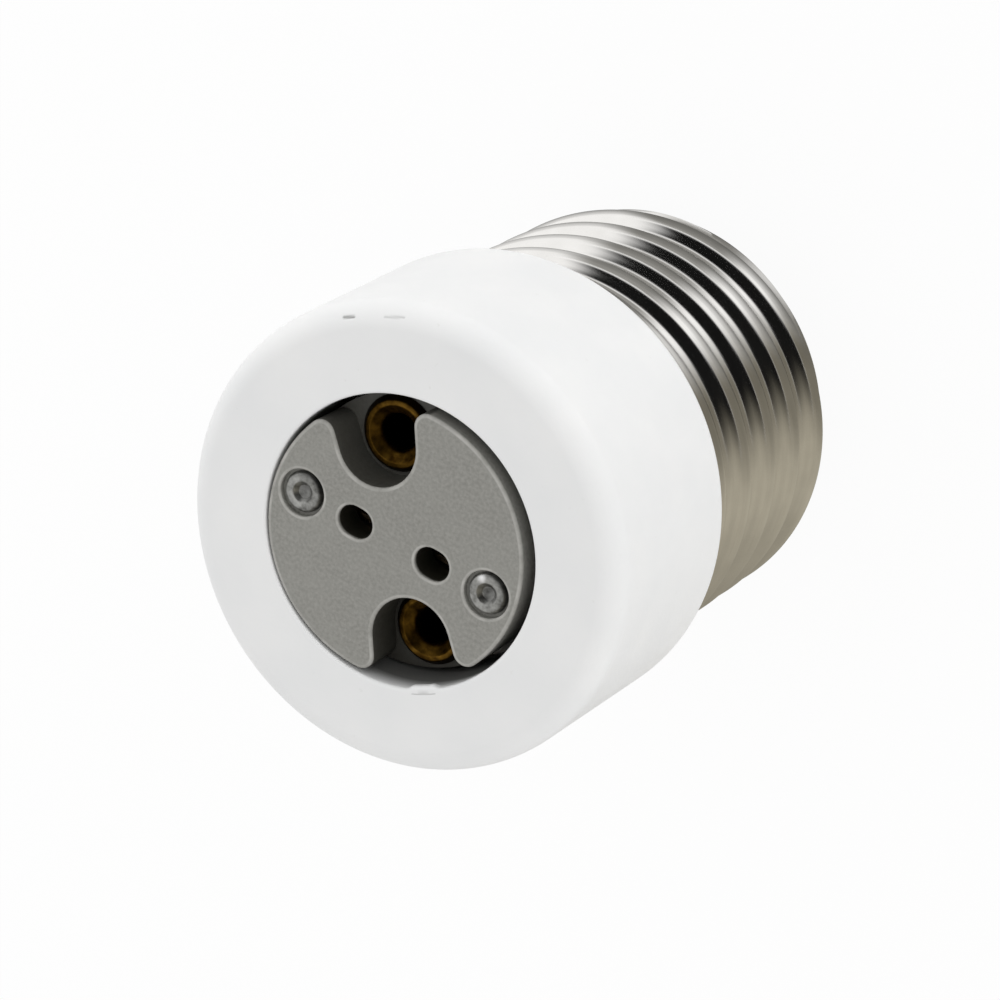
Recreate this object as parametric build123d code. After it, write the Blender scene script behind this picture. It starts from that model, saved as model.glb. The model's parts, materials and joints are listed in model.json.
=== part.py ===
from build123d import *
import math
import os

os.makedirs("parts", exist_ok=True)

# Adapter from an Edison screw lampholder to a two-pin reflector lamp.
# Millimetres. Z is the common axis, with the two-pin socket facing up and the screw cap below.
# Z = 0 is the housing's rear face, where the rim of the screw shell stops.

# Edison screw thread: rounded, right-hand, seven turns to the inch
thread_crest_r = 13.1
thread_root_r = 12.1
thread_pitch = 3.629
thread_phase = 120.0
outer_arc_chords = 5
inner_arc_chords = 3

# Pressed screw shell
shell_wall = 0.3
shell_length = 19.65
collar_length = 1.2
collar_step = 0.1
shoulder_round = 2.6
shoulder_step = 0.2
shell_end_r = 9.6

# Insulator and contact in the shell's far end
insulator_fit = 0.05
insulator_lap = 0.8
insulator_flange_t = 1.5
insulator_rim_t = 0.5
insulator_nose = 2.7
insulator_tip_wall = 0.7
contact_r = 4.75
contact_edge_t = 0.5
contact_crown = 0.7
contact_flat_r = 3.2
contact_tube_wall = 0.6
contact_tail_wall = 0.5
contact_tail_t = 0.3
solder_r = 1.9
solder_height = 0.6

# White housing
housing_height = 13.95
housing_front_r = 14.15
housing_rear_r = 14.35
front_round = 1.5
rear_round = 0.8
mouth_edge = 0.2
neck_length = 12.5
neck_fit = 0.1
chamber_r = 7.8

# Two-pin lampholder: steatite body on a back plate
holder_r = 8.4
holder_height = 7.4
holder_recess = 0.1
holder_edge = 0.15
back_plate_t = 0.9
gap_wide = 0.8
gap_narrow = 0.1
gap_narrow_angle = 215.6
cement_height = 2.0

# Pin holes
pin_spacing = 5.33
pin_slot_length = 2.3
pin_slot_width = 1.9
face_thickness = 2.2

# Notches in the lampholder's rim
notch_angle = 120.0
notch_r = 2.55
notch_centre = 5.85
notch_spread = 7.0
notch_depth = 2.8
notch_flare = 0.85

# Rivets that hold body and back plate together
rivet_spacing = 12.8
rivet_recess_r = 1.45
rivet_recess_depth = 0.4
rivet_r = 0.8
rivet_fit = 0.05
rivet_head_r = 1.15
rivet_head_t = 0.3
rivet_dimple_r = 0.4
rivet_tail_r = 1.05
rivet_tail_t = 0.45

# Hollow brass eyelets in the notch floors
eyelet_bore_r = 1.15
eyelet_wall = 0.3
eyelet_fit = 0.05
eyelet_flange_r = 2.4
eyelet_flange_t = 0.45
eyelet_lip_in_r = 1.75
eyelet_lip_out_r = 2.05
eyelet_tail_r = 1.8
eyelet_tail_t = 0.35

# Hairpin contact springs
spring_t = 0.35
spring_gap = 1.3
spring_leaf = 2.45
spring_height = 4.7
spring_play = 0.25
tab_width = 1.2
tab_length = 2.7
crimp_length = 2.0
crimp_wall = 0.3

# Leads from the springs to the cap
conductor_r = 0.4
conductor_fit = 0.05
sleeve_wall = 0.45
sleeve_lead_in = 0.4
lead_bend = 2.5
hook_bend = 1.0
hook_drop = 0.3
hook_length = 3.0
live_drop = 4.0
live_run = 7.0
live_bare = 3.0
neutral_drop = 9.0
neutral_bare = 2.5
tool_reach = 60.0

# Levels along the axis
holder_top = housing_height - holder_recess
body_back = holder_top - holder_height
seat_z = body_back - back_plate_t
notch_floor = holder_top - notch_depth
crimp_low = seat_z - tab_length
shell_floor = -(shell_length - shell_wall)
contact_seat = -(shell_length + insulator_rim_t + insulator_nose)
contact_low = contact_seat - contact_edge_t - contact_crown
insulator_top = shell_floor + insulator_flange_t

# Radii and places that follow from the sizes above
mouth_r = holder_r + (gap_wide + gap_narrow) / 2
neck_r = thread_root_r - shell_wall - neck_fit
rivet_x = rivet_spacing / 2
pin_x = pin_spacing / 2
spring_r = spring_gap / 2 + spring_t
spring_bend_x = pin_x + spring_leaf / 2
tab_x = spring_bend_x + spring_gap / 2 + spring_t / 2
sleeve_r = conductor_r + conductor_fit + sleeve_wall
tube_bore_r = conductor_r + conductor_fit
tube_r = tube_bore_r + contact_tube_wall
hook_r = neck_r - conductor_r - conductor_fit
hook_low = -(neck_length + conductor_r + hook_drop)

# The lampholder is bedded against one side of the mouth
off_centre = (gap_wide - gap_narrow) / 2
holder_x = off_centre * math.cos(math.radians(gap_narrow_angle))
holder_y = off_centre * math.sin(math.radians(gap_narrow_angle))
holder_place = Pos(holder_x, holder_y, 0)
notch_turns = (notch_angle, notch_angle - 180)


def revolved(*outline):
    """Turn a closed outline of radius and height about the axis."""
    return revolve(Plane.XZ * make_face(outline), Axis.Z)


def corner(outline, radius, height):
    """Corner of a flat outline at a radius and height."""
    return outline.vertices().sort_by_distance((radius, height, 0))[0]


def post(radius, low, high, x=0.0, y=0.0):
    """Upright round bar between two levels."""
    return Pos(x, y, (low + high) / 2) * Cylinder(radius, high - low)


def raised(plan, low, high):
    """Upright prism of a flat plan between two levels."""
    return Pos(0, 0, low) * extrude(plan, high - low)


# Screw cap


def thread_blank(inset, chords):
    """Helical ring whose outside is the thread, set in from the outer surface by inset.

    Crest and root are equal arcs that meet at mid flank. Each arc is drawn with a few chords.
    The outline is turned by half a turn along the helix, twice, and the halves are joined.
    """
    depth = thread_crest_r - thread_root_r
    arc_r = (thread_pitch**2 / 4 + depth**2) / (4 * depth)
    half_angle = math.asin(thread_pitch / 4 / arc_r)
    steps = [half_angle * (2 * k / chords - 1) for k in range(1, chords)]
    crest_mid = thread_crest_r - arc_r
    root_mid = thread_root_r + arc_r
    core_r = shell_end_r - shell_wall
    first = -shell_length - 2 * thread_pitch
    points = []
    for k in range(int(shell_length / thread_pitch) + 5):
        crest_z = first + k * thread_pitch
        root_z = crest_z + thread_pitch / 2
        points += [
            (crest_mid + (arc_r - inset) * math.cos(a), crest_z + (arc_r - inset) * math.sin(a))
            for a in steps
        ]
        points += [
            (root_mid - (arc_r + inset) * math.cos(a), root_z + (arc_r + inset) * math.sin(a))
            for a in steps
        ]
    outline = Polyline((core_r, points[0][1]), *points, (core_r, points[-1][1]), close=True)
    path = Helix(thread_pitch, thread_pitch / 2, thread_crest_r)
    half_turn = sweep(Plane.XZ * make_face(outline), path=path, is_frenet=True)
    return half_turn + Rot(0, 0, 180) * Pos(0, 0, thread_pitch / 2) * half_turn


def shell_envelope(inset):
    """Round outline that ends the thread in the shell's shoulder, set in by inset."""
    side_r = thread_crest_r + shoulder_step - inset
    low = -shell_length + inset
    round_r = shoulder_round - inset
    core_r = shell_end_r - shell_wall
    return revolved(
        Line((core_r, 0), (side_r, 0)),
        Line((side_r, 0), (side_r, low + round_r)),
        RadiusArc((side_r, low + round_r), (side_r - round_r, low), round_r),
        Line((side_r - round_r, low), (core_r, low)),
        Line((core_r, low), (core_r, 0)),
    )


def screw_shell():
    """Thin pressed shell with a plain collar, the thread and a rounded shoulder."""
    collar_r = thread_crest_r + collar_step
    collar = post(collar_r, -collar_length, 0) - post(thread_root_r, -collar_length, 0)
    outside = thread_blank(0, outer_arc_chords) & shell_envelope(0)
    inside = thread_blank(shell_wall, inner_arc_chords) & shell_envelope(shell_wall)
    shell = outside + collar - inside
    shell -= post(thread_root_r - shell_wall - neck_fit, shell_floor, 0)
    shell -= post(shell_end_r, -tool_reach, tool_reach)
    return Rot(0, 0, thread_phase) * shell


def cap_insulator():
    """Moulded insulator: a flange inside the shell and a cone out to the contact."""
    flange_r = shell_end_r + insulator_lap
    nose_r = shell_end_r - insulator_fit
    tip_r = contact_r + insulator_tip_wall
    rim_z = -shell_length - insulator_rim_t
    bore_r = tube_r + insulator_fit
    return revolved(
        Polyline(
            (bore_r, insulator_top),
            (flange_r, insulator_top),
            (flange_r, shell_floor),
            (nose_r, shell_floor),
            (nose_r, rim_z),
            (tip_r, contact_seat),
            (bore_r, contact_seat),
            close=True,
        )
    )


def centre_contact():
    """Coned contact disc with a tube through the insulator, turned over at its inner end."""
    tail_r = tube_r + contact_tail_wall
    tail_top = insulator_top + contact_tail_t
    edge_z = contact_seat - contact_edge_t
    return revolved(
        Polyline(
            (contact_flat_r, contact_low),
            (tube_bore_r, contact_low),
            (tube_bore_r, tail_top),
            (tail_r, tail_top),
            (tail_r, insulator_top),
            (tube_r, insulator_top),
            (tube_r, contact_seat),
            (contact_r, contact_seat),
            (contact_r, edge_z),
            close=True,
        )
    )


def contact_solder():
    """Solder dome that closes the contact's tube round the end of the live conductor."""
    ball_r = (solder_r**2 + solder_height**2) / (2 * solder_height)
    ball = Pos(0, 0, contact_low - solder_height + ball_r) * Sphere(ball_r)
    return ball & post(solder_r, contact_low - solder_height, contact_low)


# White housing


def housing():
    """Thick-walled moulding with a round mouth, a seat for the lampholder and a neck."""
    outline = make_face(
        Polyline(
            (chamber_r, -neck_length),
            (neck_r, -neck_length),
            (neck_r, 0),
            (housing_rear_r, 0),
            (housing_front_r, housing_height),
            (mouth_r, housing_height),
            (mouth_r, seat_z),
            (chamber_r, seat_z),
            close=True,
        )
    )
    outline = fillet(corner(outline, housing_front_r, housing_height), front_round)
    outline = fillet(corner(outline, housing_rear_r, 0), rear_round)
    outline = chamfer(corner(outline, mouth_r, housing_height), mouth_edge)
    body = revolve(Plane.XZ * outline, Axis.Z)
    slot_width = 2 * (conductor_r + conductor_fit)
    slot_length = hook_length + conductor_r
    groove = Pos(-neck_r, 0, -neck_length + slot_length / 2) * Box(2 * slot_width, slot_width, slot_length)
    return body - groove


def bedding_cement():
    """Cement between the foot of the lampholder and the wall of the mouth."""
    ring = post(mouth_r, seat_z, seat_z + cement_height)
    return ring - post(holder_r, seat_z, seat_z + cement_height, holder_x, holder_y)


# Two-pin lampholder


def notch_plan(turn):
    """Plan of one notch: a round end and tangent sides that spread and run out past the rim."""
    spread = math.radians(notch_spread)
    start = (notch_centre - notch_r * math.sin(spread), notch_r * math.cos(spread))
    end = (start[0] + holder_r * math.cos(spread), start[1] + holder_r * math.sin(spread))
    run = Polyline(start, (start[0], -start[1]), (end[0], -end[1]), end, close=True)
    return Rot(0, 0, turn) * (Pos(notch_centre, 0) * Circle(notch_r) + make_face(run))


def is_notch_corner(vertex):
    """True where a side of a notch meets the rim."""
    angle = math.degrees(math.atan2(vertex.Y, vertex.X))
    side = notch_r - notch_centre * math.sin(math.radians(notch_spread))
    half = notch_spread + math.degrees(math.asin(side / holder_r))
    on_rim = abs(math.hypot(vertex.X, vertex.Y) - holder_r) < 1e-4
    off_axis = min(abs(abs((angle - t + 180) % 360 - 180) - half) for t in notch_turns)
    return on_rim and off_axis < 1e-3


def notched_plan():
    """Plan of the lampholder's upper part, with flared corners at the notches."""
    plan = Circle(holder_r)
    for turn in notch_turns:
        plan -= notch_plan(turn)
    corners = [v for v in plan.vertices() if is_notch_corner(v)]
    return fillet(corners, notch_flare)


def eyelet_places():
    """Axes of the two eyelets, at the round ends of the notches."""
    return [Rot(0, 0, turn) * Pos(notch_centre, 0, 0) for turn in notch_turns]


def rivet_places():
    """Axes of the two rivets, on the line of the pin holes."""
    return [Pos(side * rivet_x, 0, 0) for side in (1, -1)]


def lampholder_body():
    """Steatite body with pin holes, contact chambers, rivet recesses and notches."""
    body = raised(Circle(holder_r), body_back, notch_floor)
    body += raised(notched_plan(), notch_floor, holder_top)
    body = chamfer(body.faces().sort_by(Axis.Z)[-1].outer_wire().edges(), holder_edge)
    chamber_length = spring_leaf + 2 * spring_r + 2 * spring_play - spring_gap / 2
    chamber_mid = spring_bend_x + spring_r + spring_play - chamber_length / 2
    chamber_width = 2 * (spring_r + spring_play)
    for side in (1, -1):
        hole = Pos(side * pin_x, 0) * SlotOverall(pin_slot_length, pin_slot_width)
        room = Pos(side * chamber_mid, 0) * Rectangle(chamber_length, chamber_width)
        body -= raised(hole, body_back, holder_top)
        body -= raised(room, body_back, holder_top - face_thickness)
    for place in rivet_places():
        body -= place * post(rivet_recess_r, holder_top - rivet_recess_depth, holder_top)
        body -= place * post(rivet_r + rivet_fit, body_back, holder_top)
    for place in eyelet_places():
        body -= place * post(eyelet_bore_r + eyelet_wall + eyelet_fit, body_back, notch_floor)
    return holder_place * body


def lampholder_back_plate():
    """Insulating plate that closes the contact chambers from below."""
    plate = raised(Circle(holder_r), seat_z, body_back)
    for place in rivet_places():
        plate -= place * post(rivet_r + rivet_fit, seat_z, body_back)
    for place in eyelet_places():
        plate -= place * post(eyelet_bore_r + eyelet_wall + eyelet_fit, seat_z, body_back)
    for side in (1, -1):
        slot = Rectangle(spring_t + 2 * conductor_fit, tab_width + 2 * conductor_fit)
        plate -= raised(Pos(side * tab_x, 0) * slot, seat_z, body_back)
    return holder_place * plate


def lampholder_rivets():
    """Two tubular rivets, rolled over in their recesses and headed under the back plate."""
    head_low = holder_top - rivet_recess_depth
    rivet = post(rivet_r, seat_z, head_low)
    rivet += post(rivet_head_r, head_low, head_low + rivet_head_t)
    rivet += post(rivet_tail_r, seat_z - rivet_tail_t, seat_z)
    rivet -= post(rivet_dimple_r, head_low - rivet_head_t, holder_top)
    return Compound([holder_place * place * rivet for place in rivet_places()])


def mounting_eyelets():
    """Two hollow brass eyelets with a funnelled flange in the notch and a turned-over tail."""
    tube = eyelet_bore_r + eyelet_wall
    flange_top = notch_floor + eyelet_flange_t
    eyelet = revolved(
        Polyline(
            (eyelet_bore_r, notch_floor),
            (eyelet_bore_r, seat_z - eyelet_tail_t),
            (eyelet_tail_r, seat_z - eyelet_tail_t),
            (eyelet_tail_r, seat_z),
            (tube, seat_z),
            (tube, notch_floor),
            (eyelet_flange_r, notch_floor),
            (eyelet_lip_out_r, flange_top),
            (eyelet_lip_in_r, flange_top),
            close=True,
        )
    )
    return Compound([holder_place * place * eyelet for place in eyelet_places()])


# Contact springs and leads


def pin_contact(side):
    """Hairpin spring that grips one lamp pin, with a tab and a crimp for its lead."""
    leaf = Pos(spring_bend_x - spring_leaf / 2, 0) * Rectangle(spring_leaf, 2 * spring_r)
    gap = Pos(spring_bend_x - spring_leaf / 2, 0) * Rectangle(spring_leaf, spring_gap)
    bend = Pos(spring_bend_x, 0) * (Circle(spring_r) - Circle(spring_gap / 2))
    hairpin = leaf + bend - gap
    hairpin -= Pos(spring_bend_x, 0) * Circle(spring_gap / 2)
    spring = raised(hairpin, body_back, body_back + spring_height)
    tab = Pos(tab_x, 0) * Rectangle(spring_t, tab_width)
    spring += raised(tab, crimp_low, body_back + tab_width / 2)
    barrel_r = conductor_r + crimp_wall
    barrel = post(barrel_r, crimp_low, crimp_low + crimp_length, lead_x())
    spring += barrel
    spring -= post(conductor_r, crimp_low, crimp_low + crimp_length, lead_x())
    turn = 0 if side > 0 else 180
    return holder_place * Rot(0, 0, turn) * spring


def lead_x():
    """Distance of a lead from the lampholder's axis where it enters its crimp."""
    return tab_x - spring_t / 2 - conductor_r - crimp_wall / 2


def live_route(top, low):
    """Route from the live spring, in to the axis and down to the centre contact."""
    x = holder_x + lead_x()
    turn_z = crimp_low - live_drop
    points = [(x, holder_y, top), (x, holder_y, turn_z), (0, 0, turn_z - live_run), (0, 0, low)]
    return FilletPolyline(*points, radius=lead_bend)


def neutral_route(top, bare):
    """Route from the neutral spring to the neck's foot, and the hook trapped under the shell."""
    x = holder_x - lead_x()
    inner = Vector(x, holder_y, crimp_low - neutral_drop)
    foot = Vector(-chamber_r + sleeve_r, 0, hook_low)
    points = [Vector(x, holder_y, top), inner]
    if not bare:
        end = foot - (foot - inner).normalized() * neutral_bare
        return FilletPolyline(*points, end, radius=lead_bend)
    hook = [foot, Vector(-hook_r, 0, hook_low), Vector(-hook_r, 0, -neck_length + hook_length)]
    return FilletPolyline(*points, *hook, radius=[lead_bend, hook_bend, hook_bend])


def wire(route, radius):
    """Round bar along a route."""
    return sweep(Plane(origin=route @ 0, z_dir=route % 0) * Circle(radius), path=route)


def sleeve(route):
    """Insulating tube along a route."""
    return wire(route, sleeve_r) - wire(route, conductor_r + conductor_fit)


conductor_top = crimp_low + crimp_length
sleeve_top = crimp_low - sleeve_lead_in

pieces = {
    "housing": housing(),
    "screw_shell": screw_shell(),
    "cap_insulator": cap_insulator(),
    "centre_contact": centre_contact(),
    "contact_solder": contact_solder(),
    "bedding_cement": bedding_cement(),
    "lampholder_body": lampholder_body(),
    "lampholder_back_plate": lampholder_back_plate(),
    "lampholder_rivets": lampholder_rivets(),
    "mounting_eyelets": mounting_eyelets(),
    "live_pin_contact": pin_contact(1),
    "neutral_pin_contact": pin_contact(-1),
    "live_conductor": wire(live_route(conductor_top, contact_low), conductor_r),
    "live_sleeve": sleeve(live_route(sleeve_top, insulator_top + contact_tail_t + live_bare)),
    "neutral_conductor": wire(neutral_route(conductor_top, True), conductor_r),
    "neutral_sleeve": sleeve(neutral_route(sleeve_top, False)),
}

for name, shape in pieces.items():
    export_step(shape, f"parts/{name}.step")
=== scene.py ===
import json
import math

import bmesh
import bpy
from mathutils import Matrix, Vector, noise
from mathutils.geometry import tessellate_polygon

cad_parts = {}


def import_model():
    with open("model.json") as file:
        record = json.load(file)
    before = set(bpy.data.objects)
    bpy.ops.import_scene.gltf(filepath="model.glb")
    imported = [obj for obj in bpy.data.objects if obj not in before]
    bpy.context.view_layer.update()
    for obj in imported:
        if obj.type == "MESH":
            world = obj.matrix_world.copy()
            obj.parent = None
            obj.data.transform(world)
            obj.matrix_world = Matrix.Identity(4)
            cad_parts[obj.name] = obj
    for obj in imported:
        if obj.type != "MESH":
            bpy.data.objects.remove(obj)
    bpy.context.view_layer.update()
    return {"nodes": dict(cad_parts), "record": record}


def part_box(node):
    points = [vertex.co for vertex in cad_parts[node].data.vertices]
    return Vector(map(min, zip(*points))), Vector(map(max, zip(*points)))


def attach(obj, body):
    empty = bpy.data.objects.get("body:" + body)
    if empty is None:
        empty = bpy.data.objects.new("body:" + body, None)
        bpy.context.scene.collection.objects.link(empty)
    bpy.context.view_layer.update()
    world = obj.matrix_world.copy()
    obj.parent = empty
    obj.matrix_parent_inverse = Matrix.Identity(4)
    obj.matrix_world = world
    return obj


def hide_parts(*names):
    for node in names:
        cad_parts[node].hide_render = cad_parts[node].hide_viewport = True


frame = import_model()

# Lengths are millimetres until a mesh is made
MM = 0.001
# Narrow flat kept beside every round
FLAT = 0.04
# Points this close to a face count as on it
NEAR = 0.02
# Points closer than this are joined, in metres
WELD = 1e-8
# Faces that meet at a larger angle than this keep a sharp edge
SHARP_ANGLE = math.radians(40)
# Steps of a round in an outline
FEWEST_STEPS = 5
STEPS_PER_MM = 16


def corners(node):
    """Lowest and highest corner of a node, in millimetres."""
    low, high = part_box(node)
    return low / MM, high / MM


# Sizes read from the frame
housing_low, housing_high = corners("housing")
body_low, body_high = corners("lampholder_body")
plate_low = corners("lampholder_back_plate")[0]
shell_low = corners("screw_shell")[0]
eyelet_low, eyelet_high = corners("mounting_eyelets")
insulator_low, insulator_high = corners("cap_insulator")
contact_low, contact_high = corners("centre_contact")
solder_low, solder_high = corners("contact_solder")
floor_z = solder_low.z
holder_x = (body_low.x + body_high.x) / 2
holder_y = (body_low.y + body_high.y) / 2
holder_r = (body_high.x - body_low.x) / 2
holder_top = body_high.z
body_back = body_low.z
seat_z = plate_low.z
shell_end_z = shell_low.z

# Housing
housing_height = housing_high.z
neck_low = housing_low.z
housing_front_r = 14.15
housing_rear_r = 14.35
front_round = 1.5
rear_round = 0.8
mouth_r = 8.85
mouth_round = 0.2
neck_r = 11.7
chamber_r = 7.8
inner_round = 0.1

# Groove in the neck for the hooked lead
groove_half_width = 0.45
groove_half_angle = groove_half_width / neck_r
groove_depth = 0.9
groove_length = 3.4
groove_top = neck_low + groove_length
groove_reach = 0.2

# Screw shell: a crest lies at the phase angle, some turns above the far end
thread_crest_r = 13.1
thread_root_r = 12.1
thread_pitch = 3.629
thread_phase = math.radians(120)
thread_turns = 5
thread_crest_z = shell_end_z + thread_turns * thread_pitch
collar_r = 13.2
collar_length = 1.2
collar_fade = 0.7
shoulder_round = 2.6
shoulder_r = 13.3
shoulder_blend = 0.22
shell_wall = 0.3
shell_end_r = 9.6

# Lampholder body
edge_round = 0.15
hole_round = 0.1
face_margin = 2.5 * FLAT
notch_turns = (-60.0, 120.0)
notch_r = 2.55
notch_centre = 5.85
notch_spread = 7.0
notch_depth = 2.8
notch_floor = holder_top - notch_depth
notch_flare = 0.85
pin_spacing = 5.33
pin_x = pin_spacing / 2
pin_slot_length = 2.3
pin_slot_width = 1.9
# Pin holes are painted black as shade below this height
pin_shade_z = holder_top - 2 * edge_round
face_thickness = 2.2
face_back = holder_top - face_thickness
chamber_in = 0.84
chamber_out = 5.14
chamber_half_width = 1.25
rivet_spacing = 12.8
rivet_x = rivet_spacing / 2
rivet_recess_r = 1.45
rivet_recess_depth = 0.4
rivet_recess_floor = holder_top - rivet_recess_depth
rivet_hole_r = 0.85
eyelet_hole_r = 1.5
eyelet_bore_r = 1.15


# Helpers


def ease(value, start, end):
    """Soft change from 0 at start to 1 at end."""
    share = min(1.0, max(0.0, (value - start) / (end - start)))
    return share * share * (3 - 2 * share)


def between(ends, share):
    """Value at a share of the way from the first end to the second."""
    return ends[0] + (ends[1] - ends[0]) * share


def waves(point, per_mm):
    """Soft unevenness from -1 to 1 over the plan of the part."""
    return noise.noise(Vector((point.x * per_mm, point.y * per_mm, 0.0)))


def arc(mid_x, mid_y, radius, start, end, steps):
    """Points of a round stretch, angles in degrees, both ends included."""
    angles = [math.radians(start + (end - start) * k / steps) for k in range(steps + 1)]
    return [(mid_x + radius * math.cos(a), mid_y + radius * math.sin(a)) for a in angles]


def rounded(points):
    """Closed outline of (x, y, round) corners, with a short flat kept beside every round."""
    outline = []
    for k, (x, y, radius) in enumerate(points):
        here = Vector((x, y))
        before = (Vector(points[k - 1][:2]) - here).normalized()
        after = (Vector(points[(k + 1) % len(points)][:2]) - here).normalized()
        if radius == 0:
            outline.append((x, y))
            continue
        half = before.angle(after) / 2
        reach = radius / math.tan(half)
        middle = here + (before + after).normalized() * (radius / math.sin(half))
        first = here + before * reach - middle
        turn = first.angle_signed(here + after * reach - middle)
        outline.append(tuple(here + before * (reach + FLAT)))
        steps = max(FEWEST_STEPS, int(STEPS_PER_MM * radius))
        for j in range(steps + 1):
            outline.append(tuple(middle + Matrix.Rotation(-turn * j / steps, 2) @ first))
        outline.append(tuple(here + after * (reach + FLAT)))
    return outline


def even(count):
    """Angles of a full turn in equal steps."""
    return [2 * math.pi * k / count for k in range(count)]


def ring(radius, height, angles, x=0.0, y=0.0):
    """Round ring of points at one height."""
    return [(x + radius * math.cos(a), y + radius * math.sin(a), height) for a in angles]


class Skin:
    """Mesh under construction: loops of points, bands between them and filled faces."""

    def __init__(self):
        self.bm = bmesh.new()
        # edge layer: painted highlight on the steatite's rims and a painted glint on a rivet
        self.edge = self.bm.verts.layers.float.new("edge")
        # dirt_and_shade layer: dirt in the housing's scratches, painted shade in hollows, gaps and holes
        self.dirt_and_shade = self.bm.verts.layers.float.new("dirt_and_shade")

    def loop(self, points, edge=0.0):
        """Vertices of one loop of points in millimetres, with a share of painted highlight."""
        verts = [self.bm.verts.new(Vector(p) * MM) for p in points]
        for vert in verts:
            vert[self.edge] = edge
        return verts

    def band(self, first, second):
        """Faces between two loops of equal count."""
        count = len(first)
        for k in range(count):
            after = (k + 1) % count
            self.bm.faces.new((first[k], first[after], second[after], second[k]))

    def rows(self, loops, wrap=False):
        """Bands between loops in order, and from the last to the first if wrap is set."""
        for first, second in zip(loops, loops[1:]):
            self.band(first, second)
        if wrap:
            self.band(loops[-1], loops[0])

    def fill(self, *loops):
        """Flat face inside the first loop and outside the others."""
        verts = [v for group in loops for v in group]
        for triangle in tessellate_polygon([[v.co / MM for v in group] for group in loops]):
            self.bm.faces.new([verts[k] for k in triangle])

    def turned(self, outline, angles, x=0.0, y=0.0, wrap=True):
        """Solid of revolution of a closed outline, or of an open one with flat ends."""
        loops = [self.loop(ring(r, z, angles, x, y)) for r, z in outline]
        self.rows(loops, wrap)
        if not wrap:
            self.bm.faces.new(loops[0])
            self.bm.faces.new(loops[-1])

    def darken(self, darkening):
        """Dirt and painted shade on every point, from a function of its place in millimetres."""
        for vert in self.bm.verts:
            vert[self.dirt_and_shade] = darkening(vert.co / MM)

    def finish(self, name, slot, node):
        """Piece that stands for a node and rides on the part."""
        bmesh.ops.remove_doubles(self.bm, verts=self.bm.verts, dist=WELD)
        bmesh.ops.recalc_face_normals(self.bm, faces=self.bm.faces)
        for face in self.bm.faces:
            face.smooth = True
        mesh = bpy.data.meshes.new(name)
        self.bm.to_mesh(mesh)
        self.bm.free()
        mesh.set_sharp_from_angle(angle=SHARP_ANGLE)
        piece = bpy.data.objects.new(name, mesh)
        bpy.context.scene.collection.objects.link(piece)
        mesh.materials.append(materials[slot])
        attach(piece, "root")
        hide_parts(node)


# Materials

# Stretch of the noise that most textures use
NOISE_LOW = 0.3
NOISE_HIGH = 0.7
# Places of the colour sockets on a mix node
MIX_FIRST = 6
MIX_SECOND = 7
MIX_RESULT = 2
BUMP_STRENGTH = 0.6
# Gloss wanders over longer stretches than colour
GLOSS_SPREAD = 1.7
EVEN_STRETCH = (1.0, 1.0, 1.0)
BLACK = (0.0, 0.0, 0.0)


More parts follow.
